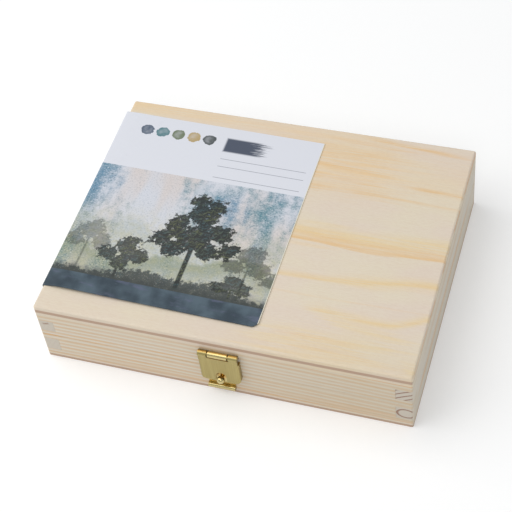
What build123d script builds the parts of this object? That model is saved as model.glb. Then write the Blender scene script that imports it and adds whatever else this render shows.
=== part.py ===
from build123d import *
from math import radians, tan
import os

# A small wooden case for five paint tubes: finger-jointed frames, plywood panels, a brass snap clasp
# on the front, two surface hinges at the back, a printed card over the lid, and a tray with its tubes.
# Millimetres. X runs along the case, the clasp faces -Y, Z is up, and the origin is the centre of the
# underside.

# Paint tube
tube_count = 5
tube_radius = 9.5
tube_body_length = 80.0
shoulder_length = 4.0
shoulder_radius = 6.5
neck_radius = 4.5
neck_length = 9.0
crimp_width = 29.85
crimp_length = 6.0
crimp_thick = 1.5
crimp_round = 0.6
tube_gap = 2.15

# Screw cap
cap_radius = 6.8
cap_length = 13.8
cap_shoulder_gap = 0.2
cap_neck_fit = 0.05
cap_bore_room = 0.4
cap_edge = 0.8
flute_count = 18
flute_radius = 0.55

# Tray
tray_clear = 0.3
tray_edge = 1.7
tray_wall = 2.0
tray_floor = 1.5
well_clear = 0.3
finger_room = 7.7
land_start = 1.0
land_length = 60.0

# Case
wall_thick = 8.0
bottom_thick = 3.0
base_wall_height = 14.425
seam_gap = 0.15
lid_wall_height = 14.425
lid_panel_thick = 6.0
corner_round = 1.0
lid_panel_round = 1.1
bottom_panel_round = 0.3
tongue_offset = 3.0
base_tongue = 8.4
lid_tongue = 7.3
glue_gap = 0.05

# Printed card
card_thick = 0.4
card_bend = 0.5
card_length = 106.0
card_front = -57.8
card_back = 60.8
card_skew = 1.0
card_corner_cut = 2.2
card_flap = 19.0

# Back hinges
hinge_spread = 104.0
hinge_width = 20.0
hinge_leaf_height = 9.5
hinge_leaf_thick = 0.8
hinge_barrel_radius = 1.5
hinge_pin_radius = 0.8
hinge_middle = 7.2
knuckle_gap = 0.15
hinge_nail_spread = 12.0
hinge_nail_height = 6.4
barrel_clear = 0.1
pin_fit = 0.05

# Clasp
clasp_x = 0.4
clasp_axis_drop = 2.4
clasp_barrel_radius = 1.55
clasp_pin_radius = 0.65
clasp_barrel_width = 18.8
clasp_middle = 9.2
clasp_knuckle_gap = 0.6
slot_room = 0.3
hasp_width = 19.6
hasp_thick = 0.7
hasp_set_back = 0.5
hasp_flange_start = 4.0
hasp_flange_clear = 0.1
hasp_corner = 2.6
hasp_bend = 1.2
hasp_past_ball = 1.2
notch_offset = 0.4
notch_radius = 2.6
notch_over_ball = 5.1
leaf_thick = 0.6
leaf_width = 16.0
leaf_height = 9.5
ball_radius = 1.9
ball_stand = 3.0
ball_drop = 5.0
stud_radius = 1.0
stud_depth = 3.0
catch_offset = -0.7
catch_width = 13.2
catch_top_drop = 1.9
catch_height = 10.8
roll_radius = 1.2
roll_bore = 0.6
clasp_nail_spread = 10.4
leaf_nail_drop = 6.6
catch_nail_drop = 4.4

# Nails
nail_radius = 0.5
nail_length = 5.0
nail_head_radius = 1.1
nail_head_height = 0.5
nail_fit = 0.02

# Sizes that follow
pitch = crimp_width + tube_gap
tray_length = tube_count * pitch + 2 * tray_edge
tube_length = cap_length + cap_shoulder_gap + shoulder_length + tube_body_length + crimp_length
tray_width = tube_length + 2 * finger_room + 2 * tray_wall
case_length = tray_length + 2 * tray_clear + 2 * wall_thick
case_width = tray_width + 2 * tray_clear + 2 * wall_thick
half_length = case_length / 2
half_width = case_width / 2
base_top = bottom_thick + base_wall_height
lid_low = base_top + seam_gap
seam = base_top + seam_gap / 2
lid_ceiling = lid_low + lid_wall_height
case_height = lid_ceiling + lid_panel_thick
tube_axis = bottom_thick + tray_floor + well_clear + tube_radius
cap_front = -tube_length / 2
shoulder_front = cap_front + cap_length + cap_shoulder_gap
body_front = shoulder_front + shoulder_length
body_back = body_front + tube_body_length

os.makedirs("parts", exist_ok=True)
nodes = {}


# A box between two corners
def block(low, high):
    size = [b - a for a, b in zip(low, high)]
    centre = [(a + b) / 2 for a, b in zip(low, high)]
    return Pos(*centre) * Box(*size)


# A round bar along X, centred at x, in the plane given by y and z
def bar_x(radius, length, x, y, z):
    return Pos(x, y, z) * Rot(0, 90, 0) * Cylinder(radius, length)


# A round bar along Y from one y to another
def bar_y(radius, x, z, y_from, y_to):
    middle = (y_from + y_to) / 2
    return Pos(x, middle, z) * Rot(90, 0, 0) * Cylinder(radius, abs(y_to - y_from))


# The case's outline seen from above, from one height to another
def case_prism(z_low, z_high):
    outline = RectangleRounded(case_length, case_width, corner_round)
    return Pos(0, 0, z_low) * extrude(outline, z_high - z_low)


# Front or back board: full length, with an open socket at each end for the side board's tongue
def long_board(side, z_low, wall_height, tongue_height):
    outer = side * half_width
    inner = side * (half_width - wall_thick)
    y_low, y_high = sorted((outer, inner))
    board = block((-half_length, y_low, z_low), (half_length, y_high, z_low + wall_height))
    socket_low = z_low + tongue_offset - glue_gap
    socket_high = z_low + tongue_offset + tongue_height + glue_gap
    reach = half_length - wall_thick - glue_gap
    for end in (-1, 1):
        x_low, x_high = sorted((end * reach, end * half_length))
        board -= block((x_low, y_low, socket_low), (x_high, y_high, socket_high))
    return board & case_prism(z_low, z_low + wall_height)


# Left or right board: it stands between the long boards, with a tongue through each of them
def side_board(side, z_low, wall_height, tongue_height):
    outer = side * half_length
    inner = side * (half_length - wall_thick)
    x_low, x_high = sorted((outer, inner))
    reach = half_width - wall_thick
    board = block((x_low, -reach, z_low), (x_high, reach, z_low + wall_height))
    tongue_low = z_low + tongue_offset
    board += block((x_low, -half_width, tongue_low), (x_high, half_width, tongue_low + tongue_height))
    return board & case_prism(z_low, z_low + wall_height)


# Nail lying along Y: its head stands out of a face at y_face, towards -Y for side -1 and +Y for side 1
def nail(side, x, y_face, z):
    point = y_face - side * nail_length
    shank = bar_y(nail_radius, x, z, point, y_face)
    ball = (nail_head_radius**2 + nail_head_height**2) / (2 * nail_head_height)
    head = Pos(x, y_face + side * (nail_head_height - ball), z) * Sphere(ball)
    far = y_face + side * (nail_head_height + 1)
    head &= bar_y(nail_head_radius, x, z, y_face, far)
    return shank + head


# The hole that a nail fills in whatever it is driven through
def nail_hole(side, x, y_face, z):
    return bar_y(nail_radius + nail_fit, x, z, y_face - side * (nail_length + nail_fit), y_face)


# Frames and panels
for lid, z_low, wall_height, tongue in (
    (False, bottom_thick, base_wall_height, base_tongue),
    (True, lid_low, lid_wall_height, lid_tongue),
):
    body = "lid" if lid else "base"
    nodes[body + "_front_board"] = long_board(-1, z_low, wall_height, tongue)
    nodes[body + "_back_board"] = long_board(1, z_low, wall_height, tongue)
    nodes[body + "_left_board"] = side_board(-1, z_low, wall_height, tongue)
    nodes[body + "_right_board"] = side_board(1, z_low, wall_height, tongue)

top_panel = case_prism(lid_ceiling, case_height)
nodes["top_panel"] = fillet(top_panel.faces().sort_by(Axis.Z)[-1].edges(), lid_panel_round)
bottom_panel = case_prism(0, bottom_thick)
nodes["bottom_panel"] = fillet(bottom_panel.faces().sort_by(Axis.Z)[0].edges(), bottom_panel_round)


# Printed card: one sheet on the lid, bent over the left edge, its long edges slightly askew
card_top = case_height + card_thick
card_right = card_length - half_length
bend_out = card_bend + card_thick
card_side = -half_length - card_thick
profile = make_face(
    Plane.XZ
    * (
        Polyline((card_side, card_top - card_flap), (card_side, card_top - bend_out))
        + RadiusArc((card_side, card_top - bend_out), (card_side + bend_out, card_top), bend_out)
        + Polyline(
            (card_side + bend_out, card_top),
            (card_right, card_top),
            (card_right, case_height),
            (card_side + bend_out, case_height),
        )
        + RadiusArc(
            (card_side + bend_out, case_height),
            (-half_length, card_top - bend_out),
            -card_bend,
        )
        + Polyline(
            (-half_length, card_top - bend_out),
            (-half_length, card_top - card_flap),
            (card_side, card_top - card_flap),
        )
    )
)
card_drop = card_length * tan(radians(card_skew))
card_outline = make_face(
    Polyline(
        (card_side - 1, card_front),
        (card_side - 1, card_back),
        (card_side + 1, card_back),
        (card_right, card_back - card_drop),
        (card_right, card_front - card_drop + card_corner_cut),
        (card_right - card_corner_cut, card_front - card_drop),
        (card_side + 1, card_front),
        (card_side - 1, card_front),
    )
)
card = extrude(profile, half_width, both=True)
card &= extrude(card_outline, card_top + 1)
nodes["card_label"] = card

# Back hinges: the case leaf holds the two outer knuckles, the lid leaf the middle one
hinge_y = half_width + barrel_clear + hinge_barrel_radius
outer_knuckle = (hinge_width - hinge_middle) / 2 - knuckle_gap
middle_half = hinge_middle / 2
case_leaves = []
lid_leaves = []
hinge_pins = []
case_hinge_nails = []
lid_hinge_nails = []
for side in (-1, 1):
    x = side * hinge_spread / 2
    leaf_reach = hinge_barrel_radius + hinge_leaf_height
    leaf_face = half_width + hinge_leaf_thick
    bore = bar_x(hinge_pin_radius, hinge_width, x, hinge_y, seam)
    free_bore = bar_x(hinge_pin_radius + pin_fit, hinge_width, x, hinge_y, seam)

    case_leaf = block(
        (x - hinge_width / 2, half_width, seam - leaf_reach), (x + hinge_width / 2, leaf_face, seam)
    )
    room = middle_half + knuckle_gap
    clear_low = seam - hinge_barrel_radius - 2 * knuckle_gap
    case_leaf -= block((x - room, half_width, clear_low), (x + room, leaf_face, seam))
    for end in (-1, 1):
        knuckle_x = x + end * (hinge_width - outer_knuckle) / 2
        case_leaf += bar_x(hinge_barrel_radius, outer_knuckle, knuckle_x, hinge_y, seam)
    case_leaf -= bore

    lid_leaf = block(
        (x - hinge_width / 2, half_width, seam), (x + hinge_width / 2, leaf_face, seam + leaf_reach)
    )
    clear_high = seam + hinge_barrel_radius + 2 * knuckle_gap
    for end in (-1, 1):
        x_low, x_high = sorted((x + end * middle_half, x + end * hinge_width / 2))
        lid_leaf -= block((x_low, half_width, seam), (x_high, leaf_face, clear_high))
    lid_leaf += bar_x(hinge_barrel_radius, hinge_middle, x, hinge_y, seam)
    lid_leaf -= free_bore

    for end in (-1, 1):
        nail_x = x + end * hinge_nail_spread / 2
        low_z = seam - hinge_nail_height
        high_z = seam + hinge_nail_height
        case_leaf -= nail_hole(1, nail_x, leaf_face, low_z)
        lid_leaf -= nail_hole(1, nail_x, leaf_face, high_z)
        nodes["base_back_board"] -= nail_hole(1, nail_x, leaf_face, low_z)
        nodes["lid_back_board"] -= nail_hole(1, nail_x, leaf_face, high_z)
        case_hinge_nails.append(nail(1, nail_x, leaf_face, low_z))
        lid_hinge_nails.append(nail(1, nail_x, leaf_face, high_z))
    hinge_pins.append(bore)
    where = "left" if side < 0 else "right"
    nodes["hinge_leaf_base_" + where] = case_leaf
    nodes["hinge_leaf_lid_" + where] = lid_leaf
nodes["hinge_pins"] = Compound(children=hinge_pins)
nodes["hinge_nails_base"] = Compound(children=case_hinge_nails)
nodes["hinge_nails_lid"] = Compound(children=lid_hinge_nails)

# Clasp: the fixed leaf on the lid, with the middle knuckle
front = -half_width
clasp_y = front - barrel_clear - clasp_barrel_radius
clasp_z = lid_ceiling - clasp_axis_drop
leaf_face = front - leaf_thick
latch_leaf = block(
    (clasp_x - clasp_middle / 2, leaf_face, clasp_z - leaf_height),
    (clasp_x + clasp_middle / 2, front, clasp_z),
)
latch_leaf += block(
    (clasp_x - leaf_width / 2, leaf_face, clasp_z - leaf_height),
    (clasp_x + leaf_width / 2, front, clasp_z - clasp_barrel_radius - slot_room),
)
latch_leaf += bar_x(clasp_barrel_radius, clasp_middle, clasp_x, clasp_y, clasp_z)
latch_pin = bar_x(clasp_pin_radius, clasp_barrel_width, clasp_x, clasp_y, clasp_z)
latch_leaf -= latch_pin

# Hasp plate: a shallow dished plate with side flanges, two outer knuckles, a slot for the middle
# knuckle, and a notch that drops over the ball
ball_z = base_top - ball_drop
hasp_face = clasp_y - clasp_barrel_radius + hasp_set_back
hasp_low = ball_z - hasp_past_ball
hasp_left = clasp_x - hasp_width / 2
hasp_right = clasp_x + hasp_width / 2
flange_top = clasp_z - hasp_flange_start
flange_back = front - hasp_flange_clear
dish = block((hasp_left, hasp_face, hasp_low), (hasp_right, flange_back, flange_top))
dish_low_edges = dish.edges().filter_by(Axis.Y).group_by(Axis.Z)[0]
dish = fillet(dish_low_edges, hasp_corner)
bent = block((hasp_left, hasp_face, hasp_low), (hasp_right, flange_back, flange_top))
dish &= fillet(bent.edges().filter_by(Axis.Z).group_by(Axis.Y)[0], hasp_bend)
hollow = block(
    (hasp_left + hasp_thick, hasp_face + hasp_thick, hasp_low - 1),
    (hasp_right - hasp_thick, front, flange_top + 1),
)
hasp = dish - hollow
barrel_left = clasp_x - clasp_barrel_width / 2
barrel_right = clasp_x + clasp_barrel_width / 2
hasp += block((barrel_left, hasp_face, flange_top), (barrel_right, hasp_face + hasp_thick, clasp_z))
slot_half = clasp_middle / 2 + clasp_knuckle_gap
slot_low = clasp_z - clasp_barrel_radius - slot_room
hasp -= block((clasp_x - slot_half, hasp_face, slot_low), (clasp_x + slot_half, clasp_y, clasp_z))
knuckle_width = clasp_barrel_width / 2 - slot_half
for end in (-1, 1):
    knuckle_x = clasp_x + end * (clasp_barrel_width - knuckle_width) / 2
    hasp += bar_x(clasp_barrel_radius, knuckle_width, knuckle_x, clasp_y, clasp_z)
hasp -= bar_x(clasp_pin_radius + pin_fit, clasp_barrel_width, clasp_x, clasp_y, clasp_z)
notch_centre = ball_z + notch_over_ball - notch_radius
notch_x = clasp_x + notch_offset
hasp -= bar_y(notch_radius, notch_x, notch_centre, hasp_face - 1, hasp_face + hasp_thick)
hasp -= block(
    (notch_x - notch_radius, hasp_face - 1, hasp_low - 1),
    (notch_x + notch_radius, hasp_face + hasp_thick, notch_centre),
)
nodes["hasp_plate"] = hasp

# Catch on the base: a plate whose lower edge is rolled into a bar, and a ball-headed stud
catch_top = base_top - catch_top_drop
roll_y = front - roll_radius
roll_z = catch_top - catch_height
catch_x = clasp_x + catch_offset
catch_left = catch_x - catch_width / 2
catch_right = catch_x + catch_width / 2
catch = block((catch_left, leaf_face, roll_z), (catch_right, front, catch_top))
catch += bar_x(roll_radius, catch_width, catch_x, roll_y, roll_z)
catch -= bar_x(roll_bore, catch_width, catch_x, roll_y, roll_z)
stud_end = front + stud_depth
stud_hole = bar_y(stud_radius + nail_fit, clasp_x, ball_z, leaf_face, stud_end + nail_fit)
stud = bar_y(stud_radius, clasp_x, ball_z, front - ball_stand, stud_end)
stud += Pos(clasp_x, front - ball_stand, ball_z) * Sphere(ball_radius)
catch -= stud_hole
nodes["base_front_board"] -= stud_hole
nodes["catch_stud"] = stud
nodes["latch_pin"] = latch_pin

latch_nails = []
catch_nails = []
leaf_nail_z = clasp_z - leaf_nail_drop
catch_nail_z = base_top - catch_nail_drop
for end in (-1, 1):
    leaf_nail_x = clasp_x + end * clasp_nail_spread / 2
    catch_nail_x = catch_x + end * clasp_nail_spread / 2
    latch_leaf -= nail_hole(-1, leaf_nail_x, leaf_face, leaf_nail_z)
    catch -= nail_hole(-1, catch_nail_x, leaf_face, catch_nail_z)
    nodes["lid_front_board"] -= nail_hole(-1, leaf_nail_x, leaf_face, leaf_nail_z)
    nodes["base_front_board"] -= nail_hole(-1, catch_nail_x, leaf_face, catch_nail_z)
    latch_nails.append(nail(-1, leaf_nail_x, leaf_face, leaf_nail_z))
    catch_nails.append(nail(-1, catch_nail_x, leaf_face, catch_nail_z))
nodes["latch_leaf"] = latch_leaf
nodes["catch_plate"] = catch
nodes["latch_nails"] = Compound(children=latch_nails)
nodes["catch_nails"] = Compound(children=catch_nails)


# The body of a tube between two places along Y, as round at the shoulder and flat at the crimp.
# spare grows it on all sides, to cut its well
def tube_shell(x, y_from, y_to, spare):
    sections = []
    for y in (y_from, y_to):
        share = (y - body_front) / tube_body_length
        half_wide = tube_radius + share * (crimp_width / 2 - tube_radius) + spare
        half_high = tube_radius + share * (crimp_thick / 2 - tube_radius) + spare
        place = Plane(origin=(x, y, tube_axis), x_dir=(1, 0, 0), z_dir=(0, 1, 0))
        sections.append(place * Ellipse(half_wide, half_high))
    return loft(sections, ruled=True)


# Tray: a block with a well for each tube, and a trough across at both ends for the fingers
tray_half = tray_length / 2
tray_low = bottom_thick
trough_floor = tray_low + tray_floor
land_from = body_front + land_start
land_to = land_from + land_length
tray = block((-tray_half, -tray_width / 2, tray_low), (tray_half, tray_width / 2, tube_axis))
trough_half = tray_half - tray_edge
trough_out = tray_width / 2 - tray_wall
tray -= block((-trough_half, -trough_out, trough_floor), (trough_half, land_from, tube_axis))
tray -= block((-trough_half, land_to, trough_floor), (trough_half, trough_out, tube_axis))

# Tubes and caps, side by side with their caps to the front
for k in range(tube_count):
    x = (k - (tube_count - 1) / 2) * pitch
    tray -= tube_shell(x, land_from, land_to, well_clear)
    tube = tube_shell(x, body_front, body_back, 0)
    facing_back = Plane(origin=(x, shoulder_front, tube_axis), x_dir=(1, 0, 0), z_dir=(0, 1, 0))
    tube += facing_back * Pos(0, 0, shoulder_length / 2) * Cone(
        shoulder_radius, tube_radius, shoulder_length
    )
    tube += bar_y(neck_radius, x, tube_axis, shoulder_front - neck_length, shoulder_front)
    crimp = block(
        (x - crimp_width / 2, body_back, tube_axis - crimp_thick / 2),
        (x + crimp_width / 2, body_back + crimp_length, tube_axis + crimp_thick / 2),
    )
    tube += fillet(crimp.edges().filter_by(Axis.X), crimp_round)
    nodes["paint_tube_%d" % (k + 1)] = tube

    cap_plane = Plane(origin=(x, cap_front, tube_axis), x_dir=(1, 0, 0), z_dir=(0, 1, 0))
    grip = Circle(cap_radius)
    grip -= PolarLocations(cap_radius, flute_count) * Circle(flute_radius)
    cap = extrude(grip, cap_length)
    cone_high = cap_radius - cap_edge
    cap &= Cone(cone_high, cone_high + cap_length, cap_length, align=(Align.CENTER, Align.CENTER, Align.MIN))
    bore_depth = neck_length + cap_bore_room - cap_shoulder_gap
    bore = Cylinder(
        neck_radius + cap_neck_fit, bore_depth, align=(Align.CENTER, Align.CENTER, Align.MAX)
    )
    cap -= Pos(0, 0, cap_length) * bore
    nodes["paint_cap_%d" % (k + 1)] = cap_plane * cap
nodes["tube_tray"] = tray

for name, shape in nodes.items():
    export_step(shape, "parts/" + name + ".step")
print("case %.2f x %.2f x %.2f mm, %d nodes" % (case_length, case_width, case_height, len(nodes)))
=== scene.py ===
import math

import bmesh
import bpy
import numpy as np
from mathutils import Matrix, Vector


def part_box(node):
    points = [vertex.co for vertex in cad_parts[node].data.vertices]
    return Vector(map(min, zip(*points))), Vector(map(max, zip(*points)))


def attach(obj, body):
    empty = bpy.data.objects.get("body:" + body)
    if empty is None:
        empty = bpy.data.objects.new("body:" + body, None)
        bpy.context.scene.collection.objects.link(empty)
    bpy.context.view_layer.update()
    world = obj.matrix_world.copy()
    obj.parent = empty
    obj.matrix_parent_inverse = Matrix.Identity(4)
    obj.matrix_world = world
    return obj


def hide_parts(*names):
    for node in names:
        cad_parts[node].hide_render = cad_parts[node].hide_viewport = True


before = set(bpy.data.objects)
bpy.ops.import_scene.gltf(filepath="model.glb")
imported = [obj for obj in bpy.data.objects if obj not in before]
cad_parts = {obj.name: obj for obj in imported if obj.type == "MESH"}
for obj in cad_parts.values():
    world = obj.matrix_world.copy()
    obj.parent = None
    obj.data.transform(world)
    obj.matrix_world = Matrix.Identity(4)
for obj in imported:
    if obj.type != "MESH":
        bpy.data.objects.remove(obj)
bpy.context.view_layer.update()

# The view
# A long lens looks down on the closed case from its front right corner, so that the lid, the front
# and a narrow slice of the right side show. The case fills most of a square picture.
scene = bpy.context.scene
camera_place = Vector((0.16866, -0.40308, 0.53349))
camera_right = Vector((0.95259, 0.28969, -0.09301))
camera_down = Vector((0.16604, -0.75113, -0.63893))
camera_forward = Vector((-0.25495, 0.59320, -0.76362))
camera_data = bpy.data.cameras.new("camera")
camera_data.lens = 97.23
camera_data.sensor_width = 36.0
camera = bpy.data.objects.new("camera", camera_data)
turn = Matrix((camera_right, -camera_down, -camera_forward)).transposed()
camera.matrix_world = Matrix.Translation(camera_place) @ turn.to_4x4()
scene.collection.objects.link(camera)
scene.camera = camera

# Pine boards
# The two frames are planed pine, eight millimetres thick, left bare and sanded. The grain runs along
# each board, so the faces show fine straight lines, and the side boards' tongues show as end grain.
MM = 1000.0
PINE_PALE = (223, 217, 206)
PINE = (224, 211, 188)
PINE_LATE = (219, 189, 152)
PINE_AMBER = (226, 170, 100)
# A painted shade: it darkens the front board towards its right end
PINE_PAINTED_SHADE = (194, 176, 142)
PINE_END = (208, 198, 183)
PINE_END_LATE = (140, 90, 60)
PLANED_GLOSS = 0.62
GRAIN_DEPTH = 0.05
# Height of the middle of each tongue, half its height, and how far out its root lies
TONGUES = (10.2, 24.225)
TONGUE_HALF = (4.2, 3.65)
TONGUE_ROOT = (82.05, 82.35)
FLECK_TILT, FLECK_HALF = 0.25, (1.6, 9, 0.5)
ORIGIN = (0.0, 0.0, 0.0)


def paint(red, green, blue):
    """A screen colour from 0 to 255 as the linear colour that a shader socket takes."""
    screen = np.array((red, green, blue)) / 255.0
    low, high = screen / 12.92, ((screen + 0.055) / 1.055) ** 2.4
    return (*np.where(screen <= 0.04045, low, high).tolist(), 1.0)


def fill(tree, made, sockets):
    """Sets each named input to a value, or joins it where the value is a link."""
    for socket, value in dict(sockets).items():
        if isinstance(value, bpy.types.NodeSocket):
            tree.links.new(value, made.inputs[socket])
        else:
            made.inputs[socket].default_value = value
    return made


def put(tree, kind, sockets=(), **settings):
    """One shader node of that kind, with its own settings and its inputs filled."""
    made = tree.nodes.new("ShaderNode" + kind)
    for name, value in settings.items():
        setattr(made, name, value)
    return fill(tree, made, sockets)


def sums(tree, operation, *values):
    """Arithmetic on numbers or links: one step, or the same step through all the values."""
    result = put(tree, "Math", enumerate(values[:2]), operation=operation).outputs[0]
    return sums(tree, operation, result, *values[2:]) if values[2:] else result


def times(tree, *values):
    """All the values multiplied."""
    return sums(tree, "MULTIPLY", *values)


def centred(tree, value, reach):
    """A noise about one half made a swing of that reach to each side of nothing."""
    return sums(tree, "MULTIPLY", sums(tree, "SUBTRACT", value, 0.5), 2.0 * reach)


def ramp(tree, value, start, end, low=0.0, high=1.0):
    """Goes smoothly from low to high while the value goes from start to end."""
    sockets = enumerate((value, start, end, low, high))
    return put(tree, "MapRange", sockets, interpolation_type="SMOOTHSTEP").outputs[0]


def mixed(tree, share, *colours):
    """The first colour, and the second where the share is one. Each is a link or a screen colour."""
    first, second = (paint(*each) if isinstance(each, tuple) else each for each in colours)
    return put(tree, "Mix", {0: share, 6: first, 7: second}, data_type="RGBA").outputs[2]


def placed(tree, place, scale=(1, 1, 1), location=(0, 0, 0), rotation=(0, 0, 0), kind="POINT"):
    """The place scaled, turned and then moved, so that noise on it can lie in streaks."""
    sockets = {"Vector": place, "Scale": scale, "Rotation": rotation}
    if kind == "POINT":
        sockets["Location"] = location
    return put(tree, "Mapping", sockets, vector_type=kind).outputs[0]


def noise(tree, place, scale, detail=2.0, roughness=0.5, output="Fac", shift=(0, 0, 0)):
    """Cloudy noise about one half, at so many patches to a millimetre, or scaled and shifted by axis."""
    if isinstance(scale, tuple):
        place, scale = placed(tree, place, scale, shift), 1.0
    sockets = {"Vector": place, "Scale": scale, "Detail": detail, "Roughness": roughness}
    return put(tree, "TexNoise", sockets).outputs[output]


def axes(tree, vector):
    """The x, y and z of a vector."""
    return put(tree, "SeparateXYZ", {0: vector}).outputs


def vectors(tree, operation, *values):
    """One step of arithmetic on vectors."""
    return put(tree, "VectorMath", enumerate(values), operation=operation).outputs[0]


def size_of(tree, vector):
    """The length of a vector."""
    return put(tree, "VectorMath", {0: vector}, operation="LENGTH").outputs["Value"]


def either_way(tree, vector, axis, *limits):
    """A ramp over how far a vector goes along an axis, to either side."""
    return ramp(tree, sums(tree, "ABSOLUTE", axes(tree, vector)[axis]), *limits)


def effect(name, inputs, outputs):
    """A shader node group with these sockets: its tree, what comes in and what goes out."""
    tree = bpy.data.node_groups.new(name, "ShaderNodeTree")
    for label, value in inputs.items():
        kind = "NodeSocketVector" if isinstance(value, tuple) else "NodeSocketFloat"
        tree.interface.new_socket(label, in_out="INPUT", socket_type=kind).default_value = value
    for label in outputs:
        tree.interface.new_socket(label, in_out="OUTPUT", socket_type="NodeSocketFloat")
    given = {socket.name: socket for socket in tree.nodes.new("NodeGroupInput").outputs if socket.name}
    return tree, given, tree.nodes.new("NodeGroupOutput").inputs


def use(tree, group, **sockets):
    """The outputs of an effect placed in a material with its own values."""
    made = tree.nodes.new("ShaderNodeGroup")
    made.node_tree = group
    return fill(tree, made, sockets).outputs


def bare_material(name):
    """A material, its tree and its shader."""
    material = bpy.data.materials.new(name)
    material.use_nodes = True
    return material, material.node_tree, material.node_tree.nodes["Principled BSDF"]


def new_material(name):
    """The same, with the place on the piece in millimetres and the way its surface faces."""
    material, tree, shader = bare_material(name)
    spot = put(tree, "TexCoord").outputs
    return material, tree, shader, placed(tree, spot["Object"], (MM, MM, MM)), spot["Normal"]


def coat(tree, shader, colour, rough, height, depth):
    """Joins colour, roughness and a bump of that depth in millimetres to the shader."""
    bump = put(tree, "Bump", {"Height": height, "Distance": depth / MM}).outputs[0]
    fill(tree, shader, {"Base Color": colour, "Roughness": rough, "Normal": bump})


def dress(material, *names):
    """Gives a CAD node, or a piece of the scene, this material alone."""
    for name in names:
        piece = bpy.data.objects[name]
        piece.data.materials.clear()
        piece.data.materials.append(material)


def grain_effect():
    """Growth rings about a pith line along X, and fibres along X, from a place in millimetres.

    The pith line falls by Fall times the square of the way past Crest. The ring number is the distance
    from it, bent by slow noise, over the ring's width. Late wood rises from Start to Peak of each ring
    and ends with it. Fibres and pores are noise drawn out along X."""
    tree, given, out = effect(
        "pine_grain",
        {"Place": ORIGIN, "Pith": ORIGIN, "Ring": 2.0, "Wander": 2.0, "Start": 0.3, "Peak": 0.8,
         "Uneven": 1.0, "Fall": 0.0, "Crest": 0.0},
        ("Late", "Tone", "Fibre", "Pore"),
    )
    place = given["Place"]
    bent = noise(tree, place, (0.006, 0.05, 0.05), output="Color")
    bent = vectors(tree, "SUBTRACT", bent, (0.5, 0.5, 0.5))
    away = vectors(tree, "ADD", place, vectors(tree, "MULTIPLY", bent, given["Wander"]))
    past = sums(tree, "SUBTRACT", axes(tree, place)[0], given["Crest"])
    lower = put(tree, "CombineXYZ", {2: times(tree, past, past, given["Fall"])}).outputs[0]
    away = vectors(tree, "SUBTRACT", vectors(tree, "ADD", away, lower), given["Pith"])
    ring = size_of(tree, vectors(tree, "MULTIPLY", away, (0, 1, 1)))
    ring = sums(tree, "DIVIDE", ring, given["Ring"])
    sockets = {"W": times(tree, ring, 0.37), "Scale": 1.0, "Detail": 1.0}
    uneven = put(tree, "TexNoise", sockets, noise_dimensions="1D")
    ring = sums(tree, "ADD", ring, times(tree, uneven.outputs["Fac"], given["Uneven"]))
    share = sums(tree, "FRACT", ring)
    late = times(tree, ramp(tree, share, given["Start"], given["Peak"]), ramp(tree, share, 1.0, 0.92))
    tree.links.new(late, out["Late"])
    tone = put(tree, "TexNoise", {"W": times(tree, ring, 0.31), "Scale": 1.0}, noise_dimensions="1D")
    tree.links.new(tone.outputs["Fac"], out["Tone"])
    tree.links.new(noise(tree, place, (0.05, 2.0, 2.0), 3.0, 0.6), out["Fibre"])
    pore = noise(tree, place, (0.14, 4.0, 4.0), 2.0, 0.6)
    tree.links.new(ramp(tree, pore, 0.56, 0.72), out["Pore"])
    return tree


def box_effect():
    """One inside an upright box of half sizes about a middle, nothing outside, with a soft edge."""
    tree, given, out = effect(
        "box_mask", {"Place": ORIGIN, "Middle": ORIGIN, "Half": (1.0, 1.0, 1.0), "Edge": 0.2}, ("Mask",)
    )
    away = vectors(tree, "ABSOLUTE", vectors(tree, "SUBTRACT", given["Place"], given["Middle"]))
    x, y, z = axes(tree, vectors(tree, "SUBTRACT", given["Half"], away))
    least = sums(tree, "MINIMUM", x, y, z)
    tree.links.new(ramp(tree, sums(tree, "DIVIDE", least, given["Edge"]), -0.5, 0.5), out["Mask"])
    return tree


def band_effect():
    """One band of late wood along X, from a place in millimetres.

    Its line lies at Line, plus Rise for each hundred along X, plus a bell of height Bump and width Wide
    about At, and is made ragged by noise drawn out along X. Across it the mask is a bell too, of width
    Low below the line and High above it. A bell is the exponential of less the square of the distance
    over its width. Along X the mask comes in from Left to Whole and goes out from Ends to Right, both
    frayed by noise."""
    tree, given, out = effect(
        "late_wood_band",
        {"Place": ORIGIN, "Line": 0.0, "Rise": 0.0, "Bump": 0.0, "At": 0.0, "Wide": 10.0, "Low": 0.5,
         "High": 4.0, "Left": -200.0, "Whole": -199.0, "Ends": 199.0, "Right": 200.0, "Ragged": 0.6},
        ("Mask",),
    )
    place = given["Place"]
    x, y, _ = axes(tree, place)
    away = sums(tree, "DIVIDE", sums(tree, "SUBTRACT", x, given["At"]), given["Wide"])
    bell = sums(tree, "EXPONENT", times(tree, away, away, -1.0))
    rise, bump = times(tree, x, 0.01, given["Rise"]), times(tree, bell, given["Bump"])
    line = sums(tree, "ADD", given["Line"], rise, bump)
    ragged = noise(tree, place, (0.045, 0.5, 0.5), 4.0, 0.6)
    ragged = times(tree, centred(tree, ragged, 2.0), given["Ragged"])
    across = sums(tree, "ADD", sums(tree, "SUBTRACT", y, line), ragged)
    above = ramp(tree, across, -0.02, 0.02)
    width = times(tree, above, sums(tree, "SUBTRACT", given["High"], given["Low"]))
    near = sums(tree, "DIVIDE", across, sums(tree, "ADD", given["Low"], width))
    mask = sums(tree, "EXPONENT", times(tree, near, near, -1.0))
    frayed = centred(tree, noise(tree, place, (0.01, 0.6, 0.6), 3.0, 0.7), 22.0)
    frayed = sums(tree, "ADD", x, times(tree, frayed, given["Ragged"]))
    comes = ramp(tree, frayed, given["Left"], given["Whole"])
    goes = ramp(tree, frayed, given["Right"], given["Ends"])
    tree.links.new(times(tree, mask, comes, goes), out["Mask"])
    return tree


pine_grain = grain_effect()
box_mask = box_effect()
late_wood_band = band_effect()


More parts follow.
